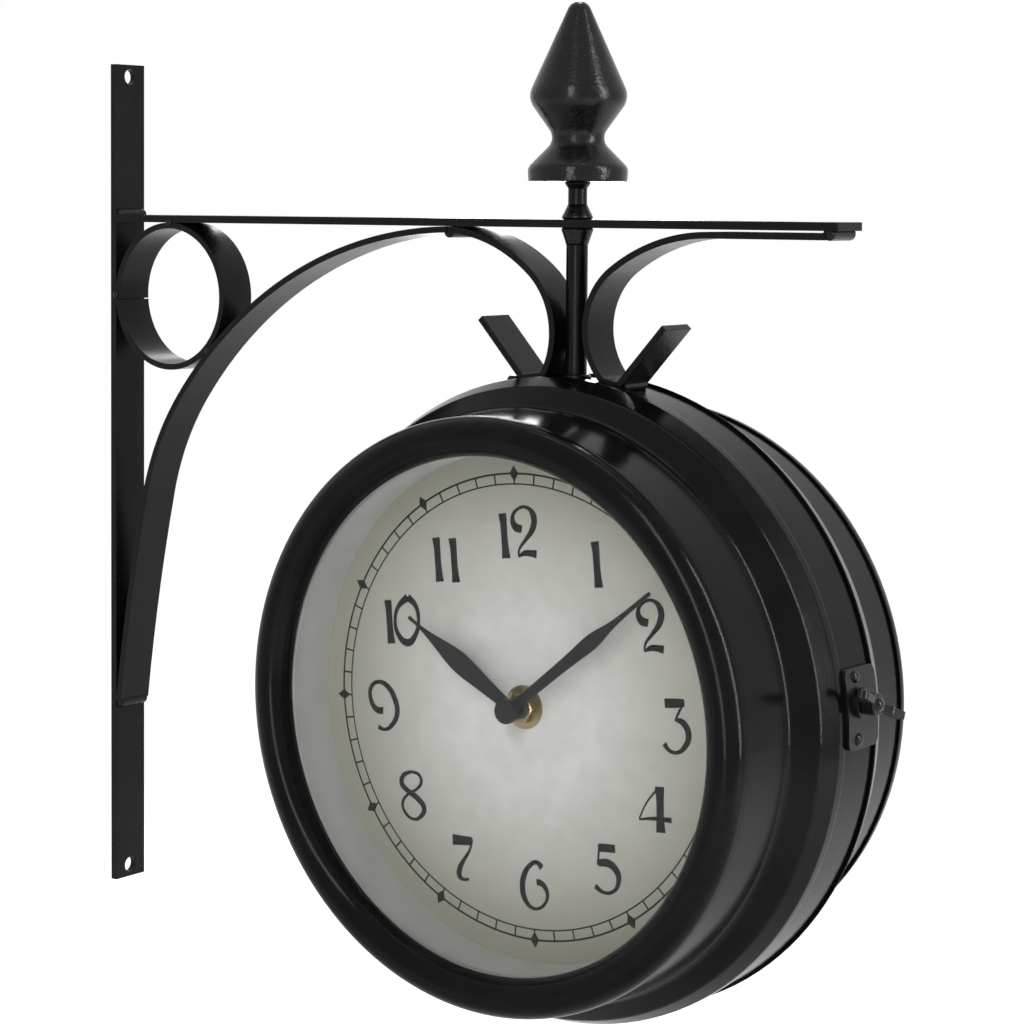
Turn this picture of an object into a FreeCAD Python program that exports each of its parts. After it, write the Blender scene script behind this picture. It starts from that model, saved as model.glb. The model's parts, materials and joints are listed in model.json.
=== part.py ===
import FreeCAD, Part
import math
import os

os.makedirs("parts", exist_ok=True)
V = FreeCAD.Vector

# Double sided station clock on a wall bracket. All sizes in mm.
# +X runs out of the wall along the arm, +Z is up, the front dial faces -Y.
# The origin is the middle of the wall bar's back face, half way between its two screw holes.

# ---- fits and clearances ----
seat_gap = 0.02           # between curved faces that are welded or pressed together
press_clearance = 0.02    # bore over a shaft that turns with it
running_clearance = 0.05  # bore over a shaft that turns in it
sleeve_clearance = 0.1    # between sheet sleeves pushed over one another
side_play = 0.1           # end play of a turning piece

# ---- bracket ----
strip_width = 17.0        # every flat strip of the bracket is this wide
bar_thickness = 3.0       # wall bar and arm
strip_thickness = 2.4     # rolled ring, brace and scrolls
bar_length = 346.0
hole_radius = 3.25        # wall screws
hole_spacing = 336.0
arm_top = 110.0           # height of the arm's top face
hang_drop = 58.7          # top of the case band below the arm's top
arm_reach = 345.0         # arm tip from the wall
brace_foot_drop = 206.0   # brace foot below the arm's top
brace_lean = 6.9          # lean of the brace at its foot, degrees off upright
brace_lower_radius = 866.0
brace_lower_turn = 6.0
brace_middle_radius = 110.0
brace_middle_turn = 23.9
brace_end_x = 177.6
ring_seam_angle = 184.0   # butt seam of the corner ring, on the wall side
ring_seam_gap = 0.4
scroll_wall_end_x = 178.4
scroll_tip_end_x = 340.0
wall_scroll = {
    "throat_gap": seat_gap,    # between the rod and the strip
    "throat_radius": 0.5134 * hang_drop,
    "lower_turn": 28.0,        # degrees turned below and above the throat
    "upper_turn": 48.8,
    "bend_radius": 3.0,        # of the bend into the foot
    "foot_length": 6.5,
    "arm_gap": seat_gap,
}
tip_scroll = {
    "throat_gap": 4.36,
    "throat_radius": 0.4554 * hang_drop,
    "lower_turn": 40.9,
    "upper_turn": 54.3,
    "bend_radius": 5.0,
    "foot_length": 4.0,
    "arm_gap": 0.8,
}
stub_lean = 42.0          # of the straight stubs on the case, degrees off upright
stub_length = 28.0
stub_fold_radius = 2.0

# ---- hanger rod and finial (heights above the arm's top) ----
rod_x = 232.0             # the case hangs centred under the rod
rod_radius = 4.0
rod_upper_radius = 3.5
collar_base = 11.4
finial_base = 13.9
collar_top_radius = 4.8
stud_radius = 2.5
stud_depth = 11.0         # of the stud inside the finial

# ---- case: r is measured from the dial axis, d outward from the middle plane ----
sheet = 1.0
band_radius = 118.1
band_half_width = 12.5
rim_radius = band_radius + sleeve_clearance + sheet
rim_edge = 9.0            # front rim reaches back over the band to here
seam = 0.3                # gap between band and door
cone_start = band_half_width + seam
cone_slope = 21.3         # slopes are degrees off the dial axis
cone_length = 7.6
shoulder_radius = 3.0
cove_slope = 47.5
cove_radius = 5.2
drum_slope = 3.7
drum_end_radius = band_radius - 11.65   # outer radius at the drum's front edge
spigot_radius = band_radius - sheet - 0.4
spigot_reach = 6.0        # the door's spigot reaches into the band to here
tongue_drop = 1.1         # the door's tongue stands this far inside the spigot
tongue_end = -2.2
tongue_half_width = 5.0

# ---- bezel, glass and dial ----
bezel_sheet = 0.8
bezel_centre_depth = 54.4
bezel_roll = 7.2
bezel_centre_radius = drum_end_radius + sleeve_clearance + bezel_sheet + 0.05 - bezel_roll
bezel_skirt = 0.8
bezel_return = 1.0
drum_end = bezel_centre_depth + 0.6
glass_radius = bezel_centre_radius - 1.7
glass_thickness = 2.0
seal_thickness = 0.8
seal_inner_radius = glass_radius - 3.9
reveal_inner_radius = glass_radius - 5.3
plate = 0.8               # reveal ring and dial
dial_radius = reveal_inner_radius + 3.8
glass_front = bezel_centre_depth - 0.4 - bezel_return - bezel_sheet / 2
glass_back = glass_front - glass_thickness
seal_back = glass_back - seal_thickness
reveal_back = seal_back - plate
dial_front = 30.4
dial_back = dial_front - plate

# ---- movement: d outward, heights from the case centre ----
movement_half = 28.0
wall = 1.5
cover_back = 13.1
cover_front = cover_back + wall
bush_radius = 4.0
bush_end = 36.0
tube_radius = 2.5
arbor_radius = 1.75
pivot_radius = 1.0
setter_radius = 1.5
setter_pivot_radius = 0.8
train_height = 12.0       # motion wheel arbor above the centre
fine_module = 0.48        # hour wheel and its pinion
coarse_module = 0.5       # minute pinion and motion wheel
hour_teeth = 40
hour_pinion_teeth = 10
motion_teeth = 36
minute_teeth = 12
motion_back = 24.0        # faces of the gears
motion_front = 25.4
hour_wheel_back = 26.3
hour_wheel_front = 27.8
battery_radius = 7.25
battery_length = 50.5
battery_height = -18.8
battery_depth = 20.65
knob_radius = 5.0
knob_back = 8.8
knob_front = 12.6
board_thickness = 1.2
coil_radius = 3.2

# ---- hands: distance from the arbor, half width ----
hour_hand_back = 37.6
minute_hand_back = 40.0
hand_sheet = 0.5
hour_hand_angle = -58.9   # clockwise from twelve
minute_hand_angle = 50.95
hour_hand_shape = ((0.0, 2.1), (10.0, 2.7), (20.0, 3.6), (29.0, 4.05), (36.0, 3.0), (43.0, 1.6), (55.5, 0.7))
minute_hand_shape = ((0.0, 1.9), (20.0, 1.95), (38.0, 2.45), (48.0, 2.6), (55.0, 1.5), (62.0, 0.95), (76.6, 0.7))
hour_collet_radius = 3.6
minute_collet_radius = 3.2
cap_radius = 4.5
cap_length = 2.9

# ---- clasp on the band, right side, and hinge, left side (heights from the case centre) ----
clasp_height = 12.0
keeper_half_height = 14.0
keeper_drop = 2.0         # of the plate and its rivets below the screw
keeper_block = 60.0       # depth of the block that cuts the plate out of a ring
keeper_thickness = 2.4
keeper_back = 11.8        # edges of the keeper plate along Y
keeper_front = -8.7
rivet_radius = 1.5
rivet_head_radius = 2.6
rivet_offset = 10.6
screw_radius = 2.0
boss_radius = 5.0
washer_thickness = 0.8
washer_radius = 5.4
ear_reach = 16.4
ear_thickness = 2.6
ear_flare = 8.4           # how far the ears lean away from the plate
ear_tilt = 68.0
hub_radius = 3.9
hub_length = 5.2
hinge_offset = band_radius + 4.0   # hinge pin from the dial axis
hinge_half_height = 12.0
middle_knuckle = 3.9
pin_radius = 1.25
knuckle_radius = 2.5
leaf_thickness = 1.0
door_leaf_width = 4.3     # of the leaf on the door's cone

# ---- values worked out from the ones above ----
case_z = arm_top - hang_drop - band_radius
arm_under = arm_top - bar_thickness
strip_half = strip_width / 2


def circle_touching_three(brace_centre, brace_outer_radius):
    """Outer radius of the ring that touches the wall bar, the arm and the brace."""
    across = brace_centre[0] - bar_thickness
    down = arm_under - brace_centre[1]
    total = across + down + brace_outer_radius
    return total - math.sqrt(total ** 2 - (across ** 2 + down ** 2 - brace_outer_radius ** 2))


# ---- drawing helpers: a drawing point is a pair (across, up) ----
def side_point(point, heading, offset):
    """The point a set distance to the left of a path; a negative offset goes right."""
    angle = math.radians(heading + 90)
    return (point[0] + offset * math.cos(angle), point[1] + offset * math.sin(angle))


def step_along(point, heading, move):
    """End point and heading of a move: (length,) is straight, (radius, turn) is curved, left positive."""
    if len(move) == 1:
        return side_point(point, heading - 90, move[0]), heading
    side = math.copysign(move[0], move[1])
    centre = side_point(point, heading, side)
    return side_point(centre, heading + move[1], -side), heading + move[1]


def strip_face(start, heading, moves, thickness, place):
    """Face of a strip of even thickness bent along a path; place() puts drawing points in space."""
    point = start
    sides = ([], [])
    ends = []
    for move in moves:
        half_move = (move[0] / 2,) if len(move) == 1 else (move[0], move[1] / 2)
        middle, middle_heading = step_along(point, heading, half_move)
        end, end_heading = step_along(point, heading, move)
        for edges, offset in zip(sides, (thickness / 2, -thickness / 2)):
            first = place(*side_point(point, heading, offset))
            between = place(*side_point(middle, middle_heading, offset))
            last = place(*side_point(end, end_heading, offset))
            curve = Part.LineSegment(first, last) if len(move) == 1 else Part.Arc(first, between, last)
            edges.append(curve.toShape())
            ends.append((first, last))
        point, heading = end, end_heading
    start_cap = Part.LineSegment(ends[0][0], ends[1][0]).toShape()
    end_cap = Part.LineSegment(ends[-2][1], ends[-1][1]).toShape()
    edges = sides[0] + [end_cap] + sides[1] + [start_cap]
    return Part.Face(Part.Wire(Part.__sortEdges__(edges)))


def rounded_edges(corners, place):
    """Edges of a closed outline whose corners (across, up, radius) are rounded."""
    pieces = []
    count = len(corners)
    for index in range(count):
        before = V(*corners[index - 1][:2], 0)
        corner = V(*corners[index][:2], 0)
        after = V(*corners[(index + 1) % count][:2], 0)
        radius = corners[index][2]
        if radius == 0:
            pieces.append((corner, None, corner))
            continue
        one = (before - corner).normalize()
        two = (after - corner).normalize()
        half = one.getAngle(two) / 2
        middle = (one + two).normalize()
        reach = radius / math.tan(half)
        crest = corner + middle * (radius / math.sin(half) - radius)
        pieces.append((corner + one * reach, crest, corner + two * reach))
    edges = []
    for index in range(count):
        first, between, last = pieces[index]
        following = pieces[(index + 1) % count][0]
        if between is not None:
            arc = Part.Arc(place(first.x, first.y), place(between.x, between.y), place(last.x, last.y))
            edges.append(arc.toShape())
        if (following - last).Length > 1e-6:
            edges.append(Part.LineSegment(place(last.x, last.y), place(following.x, following.y)).toShape())
    return edges


def rounded_face(corners, place):
    """Face inside a rounded outline."""
    return Part.Face(Part.Wire(Part.__sortEdges__(rounded_edges(corners, place))))


def on_bracket(x, z):
    """Drawing point on the near side of the bracket strips."""
    return V(x, -strip_half, z)


def on_case(r, d):
    """Drawing point on the section of the front half of the case."""
    return V(rod_x + r, -d, case_z)


def bent_strip(start, heading, moves, thickness):
    """Bracket strip bent along a path seen from the front."""
    return strip_face(start, heading, moves, thickness, on_bracket).extrude(V(0, strip_width, 0))


def spin(face):
    """Turn a section once round the dial axis."""
    return face.revolve(V(rod_x, 0, case_z), V(0, 1, 0), 360)


def to_rear(shape):
    """Turn a front piece half way round the upright axis of the case, to the back."""
    copy = shape.copy()
    copy.rotate(V(rod_x, 0, case_z), V(0, 0, 1), 180)
    return copy


def disc(radius, back, front, right=0.0, up=0.0):
    """Cylinder along the dial axis between two depths, at the front."""
    return Part.makeCylinder(radius, front - back, V(rod_x + right, -back, case_z + up), V(0, -1, 0))


def ring(outer, inner, back, front, right=0.0, up=0.0):
    """Ring or tube along the dial axis."""
    return disc(outer, back, front, right, up).cut(disc(inner, back - 1, front + 1, right, up))


def case_block(left, right, low, high, back, front):
    """Box at the front, placed from the case centre."""
    return Part.makeBox(right - left, front - back, high - low, V(rod_x + left, -front, case_z + low))


# ---- bracket ----
def wall_bar():
    bar = Part.makeBox(bar_thickness, strip_width, bar_length, V(0, -strip_half, -bar_length / 2))
    for height in (-hole_spacing / 2, hole_spacing / 2):
        hole = Part.makeCylinder(hole_radius, bar_thickness + 2, V(-1, 0, height), V(1, 0, 0))
        bar = bar.cut(hole)
    return bar


def arm_bar():
    corner = V(bar_thickness, -strip_half, arm_under)
    arm = Part.makeBox(arm_reach - bar_thickness, strip_width, bar_thickness, corner)
    hole = Part.makeCylinder(rod_upper_radius + seat_gap, bar_thickness + 2, V(rod_x, 0, arm_under - 1))
    return arm.cut(hole)


def brace_moves():
    """Start, heading and moves of the brace; the last radius is set by the height it has to climb."""
    start = (bar_thickness + strip_thickness / 2, arm_top - brace_foot_drop)
    heading = 90 - brace_lean
    lower = (brace_lower_radius, -brace_lower_turn)
    middle = (brace_middle_radius, -brace_middle_turn)
    point, angle = step_along(start, heading, lower)
    point, angle = step_along(point, angle, middle)
    rise = arm_under - seat_gap - strip_thickness / 2 - point[1]
    upper_radius = rise / (1 - math.cos(math.radians(angle)))
    top = (point[0] + upper_radius * math.sin(math.radians(angle)), arm_under - seat_gap - strip_thickness / 2)
    left_over = math.degrees(math.asin((top[0] - brace_end_x) / upper_radius))
    upper = (upper_radius, -(angle - left_over))
    centre = (top[0], top[1] - upper_radius)
    return start, heading, (lower, middle, upper), centre, upper_radius


def brace_strip():
    start, heading, moves, _, _ = brace_moves()
    return bent_strip(start, heading, moves, strip_thickness)


def ring_size():
    """Outer radius and centre of the corner ring."""
    _, _, _, centre, radius = brace_moves()
    outer = circle_touching_three(centre, radius + strip_thickness / 2) - seat_gap
    return outer, (bar_thickness + outer + seat_gap, arm_under - outer - seat_gap)


def corner_ring():
    outer, centre = ring_size()
    radius = outer - strip_thickness / 2
    seam_turn = math.degrees(ring_seam_gap / radius)
    first = ring_seam_angle + seam_turn / 2
    start = side_point(centre, first - 90, radius)
    half_turn = (radius, 180 - seam_turn / 2)
    return bent_strip(start, first + 90, (half_turn, half_turn), strip_thickness)


def scroll_path(throat_gap, throat_radius, lower_turn, upper_turn, bend_radius, foot_length, arm_gap, end):
    """Path of a scroll from its end under the arm to the tip of its stub.

    Drawing points are (distance from the rod, height above the case centre).
    """
    half = strip_thickness / 2
    on_band = band_radius + seat_gap + half
    throat_across = rod_radius + throat_gap + half + throat_radius
    bend_across = throat_across - (throat_radius - bend_radius) * math.cos(math.radians(lower_turn))
    bend_up = math.sqrt((on_band + bend_radius) ** 2 - bend_across ** 2)
    throat_up = bend_up + (throat_radius - bend_radius) * math.sin(math.radians(lower_turn))
    foot_angle = math.degrees(math.asin(bend_across / (on_band + bend_radius)))
    top_up = throat_up + throat_radius * math.sin(math.radians(upper_turn))
    top_across = throat_across - throat_radius * math.cos(math.radians(upper_turn))
    level = arm_under - arm_gap - half - case_z
    rest = 90 - upper_turn
    lead_radius = (level - top_up) / (1 - math.cos(math.radians(rest)))
    lead_start = top_across + lead_radius * math.sin(math.radians(rest))
    moves = []
    if end > lead_start:
        start = (end, level)
        trim = 0.0
        moves.append((end - lead_start,))
    else:
        trim = math.degrees(math.asin((lead_start - end) / lead_radius))
        start = (end, level - lead_radius * (1 - math.cos(math.radians(trim))))
    foot_turn = math.degrees(foot_length / on_band)
    moves.append((lead_radius, rest - trim))
    moves.append((throat_radius, upper_turn + lower_turn))
    moves.append((bend_radius, 90 - lower_turn - foot_angle))
    moves.append((on_band, -foot_turn))
    moves.append((stub_fold_radius, 90 - stub_lean + foot_angle + foot_turn))
    moves.append((stub_length,))
    return start, 180 + trim, moves


def scroll(side, path):
    """Scroll strip; side is -1 towards the wall and +1 towards the arm's tip."""
    start, heading, moves = path

    def place(across, up):
        return V(rod_x + side * across, -strip_half, case_z + up)

    return strip_face(start, heading, moves, strip_thickness, place).extrude(V(0, strip_width, 0))


def scroll_wall_side():
    return scroll(-1, scroll_path(end=rod_x - scroll_wall_end_x, **wall_scroll))


def scroll_tip_side():
    return scroll(1, scroll_path(end=scroll_tip_end_x - rod_x, **tip_scroll))


def band_space(radius):
    """Solid cylinder along the dial axis that fills the case out to a radius."""
    return disc(radius, -drum_end, drum_end)


def hanger_rod():
    bottom = case_z + band_radius - 3
    lower = Part.makeCylinder(rod_radius, arm_under - bottom, V(rod_x, 0, bottom))
    upper = Part.makeCylinder(rod_upper_radius, bar_thickness + collar_base, V(rod_x, 0, arm_under))
    stud_length = finial_base - collar_base + stud_depth
    stud = Part.makeCylinder(stud_radius, stud_length, V(rod_x, 0, arm_top + collar_base))
    return lower.fuse([upper, stud]).removeSplitter().cut(band_space(band_radius + seat_gap))


def on_rod(r, up):
    """Drawing point on the section of the rod pieces; heights from the arm's top."""
    return V(rod_x + r, 0, arm_top + up)


def spin_on_rod(face):
    """Turn a section once round the rod."""
    return face.revolve(V(rod_x, 0, 0), V(0, 0, 1), 360)


def finial():
    base_radius = 18.2
    skirt = (18.6, 19.0, 4.0)
    neck = (8.2, 29.5, 4.8)
    belly = (18.9, 44.6, 7.4)
    apex = 86.6
    tip_round = 4.6
    half = math.atan2(belly[0], apex - belly[1])
    centre = apex - tip_round / math.sin(half)
    touch = (tip_round * math.cos(half), centre + tip_round * math.sin(half), 0)
    between = math.pi / 4 + half / 2
    corners = ((0, finial_base, 0), (base_radius, finial_base, 0.6), skirt, neck, belly, touch,
               (0, centre + tip_round, 0))
    edges = rounded_edges(corners, on_rod)
    top = on_rod(0, centre + tip_round)
    keep = [edge for edge in edges if not (edge.Length < 2 * tip_round and edge.BoundBox.ZMax > top.z - 1e-6
                                           and edge.BoundBox.XMax > rod_x + 1)]
    shoulder = on_rod(tip_round * math.cos(between), centre + tip_round * math.sin(between))
    crown = Part.Arc(on_rod(*touch[:2]), shoulder, top)
    outline = Part.Wire(Part.__sortEdges__(keep + [crown.toShape()]))
    body = spin_on_rod(Part.Face(outline))
    bore_foot = V(rod_x, 0, arm_top + finial_base - 0.5)
    bore = Part.makeCylinder(stud_radius + press_clearance, stud_depth + 1, bore_foot)
    return body.cut(bore)


def finial_collar():
    corners = ((stud_radius + press_clearance, collar_base, 0), (rod_upper_radius, collar_base, 0.3),
               (collar_top_radius, finial_base - 0.6, 0.5), (collar_top_radius - 0.3, finial_base, 0),
               (stud_radius + press_clearance, finial_base, 0))
    return spin_on_rod(rounded_face(corners, on_rod))


def rod_welds():
    """Cone of weld round the rod above and below the arm."""
    above = ((rod_upper_radius + seat_gap, 0, 0), (6.2, 0, 0.8), (rod_upper_radius + seat_gap, 5.5, 0))
    below = ((rod_radius + seat_gap, -bar_thickness, 0), (6.2, -bar_thickness, 0.8),
             (rod_radius + seat_gap, -bar_thickness - 6.5, 0))
    return [spin_on_rod(rounded_face(above, on_rod)), spin_on_rod(rounded_face(below, on_rod))]


def strip_weld(x, z, radius, width=strip_width - 1.0):
    """Rounded run of weld across the strips."""
    run = Part.makeCylinder(radius, width, V(x, -width / 2, z), V(0, 1, 0))
    ends = [edge for edge in run.Edges if edge.Curve.TypeId == "Part::GeomCircle"]
    return run.makeFillet(radius * 0.5, ends)


def tack(x, z, radius=1.9):
    """Pair of tack welds that stand out of the edges of two strips."""
    depth = strip_half - 0.9
    return [Part.makeSphere(radius, V(x, side * depth, z)) for side in (-1, 1)]


def weld_beads(neighbours):
    outer, centre = ring_size()
    start, _, _, brace_centre, brace_radius = brace_moves()
    towards = math.atan2(centre[1] - brace_centre[1], centre[0] - brace_centre[0])
    reach = brace_radius + strip_thickness / 2
    beads = rod_welds()
    beads.append(strip_weld(bar_thickness, arm_top, 2.6))
    beads.append(strip_weld((brace_end_x + scroll_wall_end_x) / 2, arm_under - strip_thickness, 2.0))
    beads.append(strip_weld(bar_thickness + 0.6, start[1] - 0.6, 2.4))
    beads.append(strip_weld(scroll_tip_end_x + 1.0, arm_under - 1.0, 2.4))
    beads += tack(bar_thickness, centre[1])
    beads += tack(centre[0], arm_under)
    beads += tack(brace_centre[0] + reach * math.cos(towards), brace_centre[1] + reach * math.sin(towards))
    for side, across in ((-1, 25.0), (1, 25.6)):
        height = math.sqrt((band_radius + 1.2) ** 2 - across ** 2)
        beads.append(strip_weld(rod_x + side * across, case_z + height, 1.7, strip_width - 3.0))
    beads.append(Part.makeTorus(rod_radius + 0.4, 1.3, V(rod_x, 0, case_z + band_radius + 0.4), V(0, 0, 1)))
    solids = []
    for bead in beads:
        for neighbour in neighbours:
            if bead.BoundBox.intersect(neighbour.BoundBox):
                bead = bead.cut(neighbour)
        solids += [solid for solid in bead.Solids if solid.Volume > 0.3]
    return Part.makeCompound(solids)


# ---- case ----
def shell_moves(rim_length):
    """Moves of a shell's middle line, from its rim to the front edge of the drum."""
    slope = math.radians(cove_slope)
    rest = math.radians(drum_slope)
    half = sheet / 2
    to_cone = (sheet, cone_slope)
    to_cove = (shoulder_radius - half, cove_slope - cone_slope)
    cove = (cove_radius + half, drum_slope - cove_slope)
    point = (rim_radius - half, cone_start - rim_length)
    heading = 90.0
    start = point
    moves = []
    if rim_length > 0:
        moves.append((rim_length,))
    moves += [to_cone, (cone_length,), to_cove]
    for move in moves:
        point, heading = step_along(point, heading, move)
    cove_drop = cove[0] * (math.cos(rest) - math.cos(slope))
    cove_run = cove[0] * (math.sin(slope) - math.sin(rest))
    end_radius = drum_end_radius - half * math.cos(rest)
    across = point[0] - cove_drop - end_radius
    run = drum_end - point[1] - cove_run
    straight = (across - run * math.tan(rest)) / (math.sin(slope) - math.cos(slope) * math.tan(rest))
    drum = (run - straight * math.cos(slope)) / math.cos(rest)
    moves += [(straight,), cove, (drum,)]
    return start, moves


def drum_inner_radius(depth):
    """Inner radius of the drum at a depth."""
    slope = math.radians(drum_slope)
    return drum_end_radius - sheet / math.cos(slope) + (drum_end - depth) * math.tan(slope)


def case_band():
    band = ring(band_radius, band_radius - sheet, -band_half_width, band_half_width)
    hole_start = V(rod_x + band_radius - 10, 0, case_z + clasp_height)
    screw_hole = Part.makeCylinder(screw_radius + 0.3, 20, hole_start, V(1, 0, 0))
    return band.cut(screw_hole).cut(rivets(running_clearance))


def front_shell():
    start, moves = shell_moves(cone_start - rim_edge)
    return spin(strip_face(start, 90, moves, sheet, on_case))


def tongue():
    """Tongue on the door's spigot, behind the tip of the clasp screw."""
    outer = spigot_radius - tongue_drop
    slab = ring(outer, outer - sheet, -spigot_reach - 4, -tongue_end)
    bridge = ring(spigot_radius, outer - sheet, -spigot_reach - 4, -spigot_reach)
    block = Part.makeBox(band_radius, 2 * drum_end, 2 * tongue_half_width,
                         V(rod_x, -drum_end, case_z + clasp_height - tongue_half_width))
    return slab.fuse(bridge).common(block)


def rear_shell():
    start, moves = shell_moves(0)
    skin = to_rear(spin(strip_face(start, 90, moves, sheet, on_case)))
    web = to_rear(ring(rim_radius - 0.6, spigot_radius - sheet, cone_start, cone_start + sheet))
    spigot = to_rear(ring(spigot_radius, spigot_radius - sheet, spigot_reach, cone_start + sheet))
    return skin.fuse([web, spigot, tongue()]).removeSplitter()


# ---- bezel, glass and dial ----
def bezel():
    middle = bezel_roll - bezel_sheet / 2
    start = (bezel_centre_radius + middle, bezel_centre_depth - bezel_skirt)
    flange_end = glass_radius + 0.5
    flange_start = bezel_centre_radius - middle + bezel_return
    moves = ((bezel_skirt,), (middle, 90), (middle, 90), (0.4,), (bezel_return, 90),
             (flange_end - flange_start,))
    return spin(strip_face(start, 90, moves, bezel_sheet, on_case))


def glass():
    return disc(glass_radius, glass_back, glass_front)


def glass_seal():
    return ring(glass_radius, seal_inner_radius, seal_back, glass_back)


def reveal_ring():
    flange = ring(drum_inner_radius(seal_back) - sleeve_clearance, reveal_inner_radius, reveal_back, seal_back)
    sleeve = ring(reveal_inner_radius + plate, reveal_inner_radius, dial_front, seal_back)
    return flange.fuse(sleeve).removeSplitter()


def dial():
    return ring(dial_radius, bush_radius + 0.15, dial_back, dial_front)


# ---- movement ----
def movement_case():
    half = movement_half
    inner = half - wall
    box = case_block(-half, half, -half, half, cover_front, dial_back)
    upright = [edge for edge in box.Edges if abs(edge.Length - (dial_back - cover_front)) < 1e-6]
    box = box.makeFillet(2.0, upright)
    hollow = case_block(-inner, inner, -inner, inner, cover_front - 1, dial_back - wall)
    bush = disc(bush_radius, dial_back - wall, bush_end)
    battery_roof = battery_height + battery_radius + 0.25
    shelf = case_block(-inner, inner, battery_roof, battery_roof + 0.8, cover_front, dial_back - wall)
    body = box.cut(hollow).fuse([bush, shelf]).removeSplitter()
    bore = disc(tube_radius + running_clearance, cover_front, bush_end + 1)
    pivot_radius = setter_pivot_radius + running_clearance
    pivot_hole = disc(pivot_radius, dial_back - wall - 1, dial_back - 0.6, 0, train_height)
    return body.cut(bore).cut(pivot_hole)


def movement_cover():
    half = movement_half
    plate_box = case_block(-half, half, -half, half, cover_back, cover_front)
    upright = [edge for edge in plate_box.Edges if abs(edge.Length - wall) < 1e-6]
    plate_box = plate_box.makeFillet(2.0, upright)
    boss = disc(3.0, cover_front, cover_front + 5.9)
    well = disc(pivot_radius + running_clearance, cover_front + 1.9, cover_front + 7)
    battery_room = battery_length / 2 + 0.75
    opening = case_block(-battery_room, battery_room, battery_height - 7.7, battery_height + 7.5,
                         cover_back - 1, cover_front + 1)
    setter_hole = disc(setter_radius + 2 * running_clearance, cover_back - 1, cover_front + 1, 0, train_height)
    return plate_box.fuse(boss).removeSplitter().cut(well).cut(opening).cut(setter_hole)


def along_battery(radius, left, right):
    """Cylinder along X on the battery's axis."""
    start = V(rod_x + left, -battery_depth, case_z + battery_height)
    return Part.makeCylinder(radius, right - left, start, V(1, 0, 0))


def battery():
    half = battery_length / 2
    body = along_battery(battery_radius, -half, half - 1.4)
    ends = [edge for edge in body.Edges if edge.Curve.TypeId == "Part::GeomCircle"]
    return body.makeFillet(0.6, ends).fuse(along_battery(2.7, half - 1.5, half)).removeSplitter()


def battery_contacts():
    half = battery_length / 2
    inner = movement_half - wall
    contacts = []
    for side in (-1, 1):
        near, far = sorted((side * (inner - 0.5), side * inner))
        tab = case_block(near, far, battery_height - 5, battery_height + 5,
                         battery_depth - 5, battery_depth + 5)
        tip, root = sorted((side * half, side * (inner - 0.4)))
        contacts.append(tab.fuse(along_battery(2.0, tip, root)).removeSplitter())
    return Part.makeCompound(contacts)


def coil_board():
    board_back = dial_back - wall - board_thickness
    board = case_block(-25.0, -12.5, -8.0, 24.0, board_back, dial_back - wall)
    coil_foot = V(rod_x - 18.8, coil_radius - board_back, case_z - 3.0)
    coil = Part.makeCylinder(coil_radius, 22.0, coil_foot, V(0, 0, 1))
    return Part.makeCompound([board, coil])


def nut_washer():
    return ring(8.0, bush_radius + 0.1, dial_front, dial_front + 0.6)


def hex_nut():
    back = dial_front + 0.6
    across_corners = 10.0 / math.cos(math.pi / 6)
    points = []
    for k in range(7):
        angle = math.pi / 3 * k
        reach = across_corners / 2
        points.append(V(rod_x + reach * math.cos(angle), -back, case_z + reach * math.sin(angle)))
    hexagon = Part.Face(Part.makePolygon(points)).extrude(V(0, -3.0, 0))
    section = ((0, back, 0), (across_corners / 2, back, 0), (across_corners / 2, back + 2.5, 0),
               (across_corners / 2 - 1.0, back + 3.0, 0), (0, back + 3.0, 0))
    cone = spin(rounded_face(section, on_case))
    return hexagon.common(cone).cut(disc(bush_radius + running_clearance, back - 1, back + 4))


def involute(angle_cosine):
    """Involute function of the angle whose cosine is given, in radians."""
    angle = math.acos(min(1.0, angle_cosine))
    return math.tan(angle) - angle


def gear(teeth, module, back, front, up, tooth_at):
    """Spur gear with a tooth centred on a direction (degrees from the right, counter-clockwise)."""
    pitch = module * teeth / 2
    base = pitch * math.cos(math.radians(20))
    root = pitch - 1.2 * module
    radii = (root, max(base, root + 0.01), pitch, pitch + 0.62 * module)
    half_tooth = math.pi / (2 * teeth) * 0.88
    points = []
    for k in range(teeth):
        middle = math.radians(tooth_at + 360 / teeth * k)
        flank = []
        for radius in radii:
            spread = half_tooth + involute(base / pitch) - involute(base / radius)
            flank.append((radius, spread))
        for radius, spread in flank:
            points.append((radius, middle - spread))
        for radius, spread in reversed(flank):
            points.append((radius, middle + spread))
    points.append(points[0])
    corners = [V(rod_x + r * math.cos(a), -back, case_z + up + r * math.sin(a)) for r, a in points]
    return Part.Face(Part.makePolygon(corners)).extrude(V(0, back - front, 0))


def minute_arbor():
    pinion = gear(minute_teeth, coarse_module, motion_back - 0.2, motion_front + 0.4, 0, 90)
    pivot = disc(pivot_radius, cover_front + 2.4, cover_front + 7.5)
    shaft = disc(arbor_radius, cover_front + 7.0, minute_hand_back + hand_sheet + 0.7)
    return pinion.fuse([pivot, shaft]).removeSplitter()


def hour_wheel():
    wheel = gear(hour_teeth, fine_module, hour_wheel_back, hour_wheel_front, 0, 90 + 180 / hour_teeth)
    tube = disc(tube_radius, hour_wheel_back, hour_hand_back + hand_sheet + 0.5)
    return wheel.fuse(tube).removeSplitter().cut(disc(arbor_radius + running_clearance, 20, 50))


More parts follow.
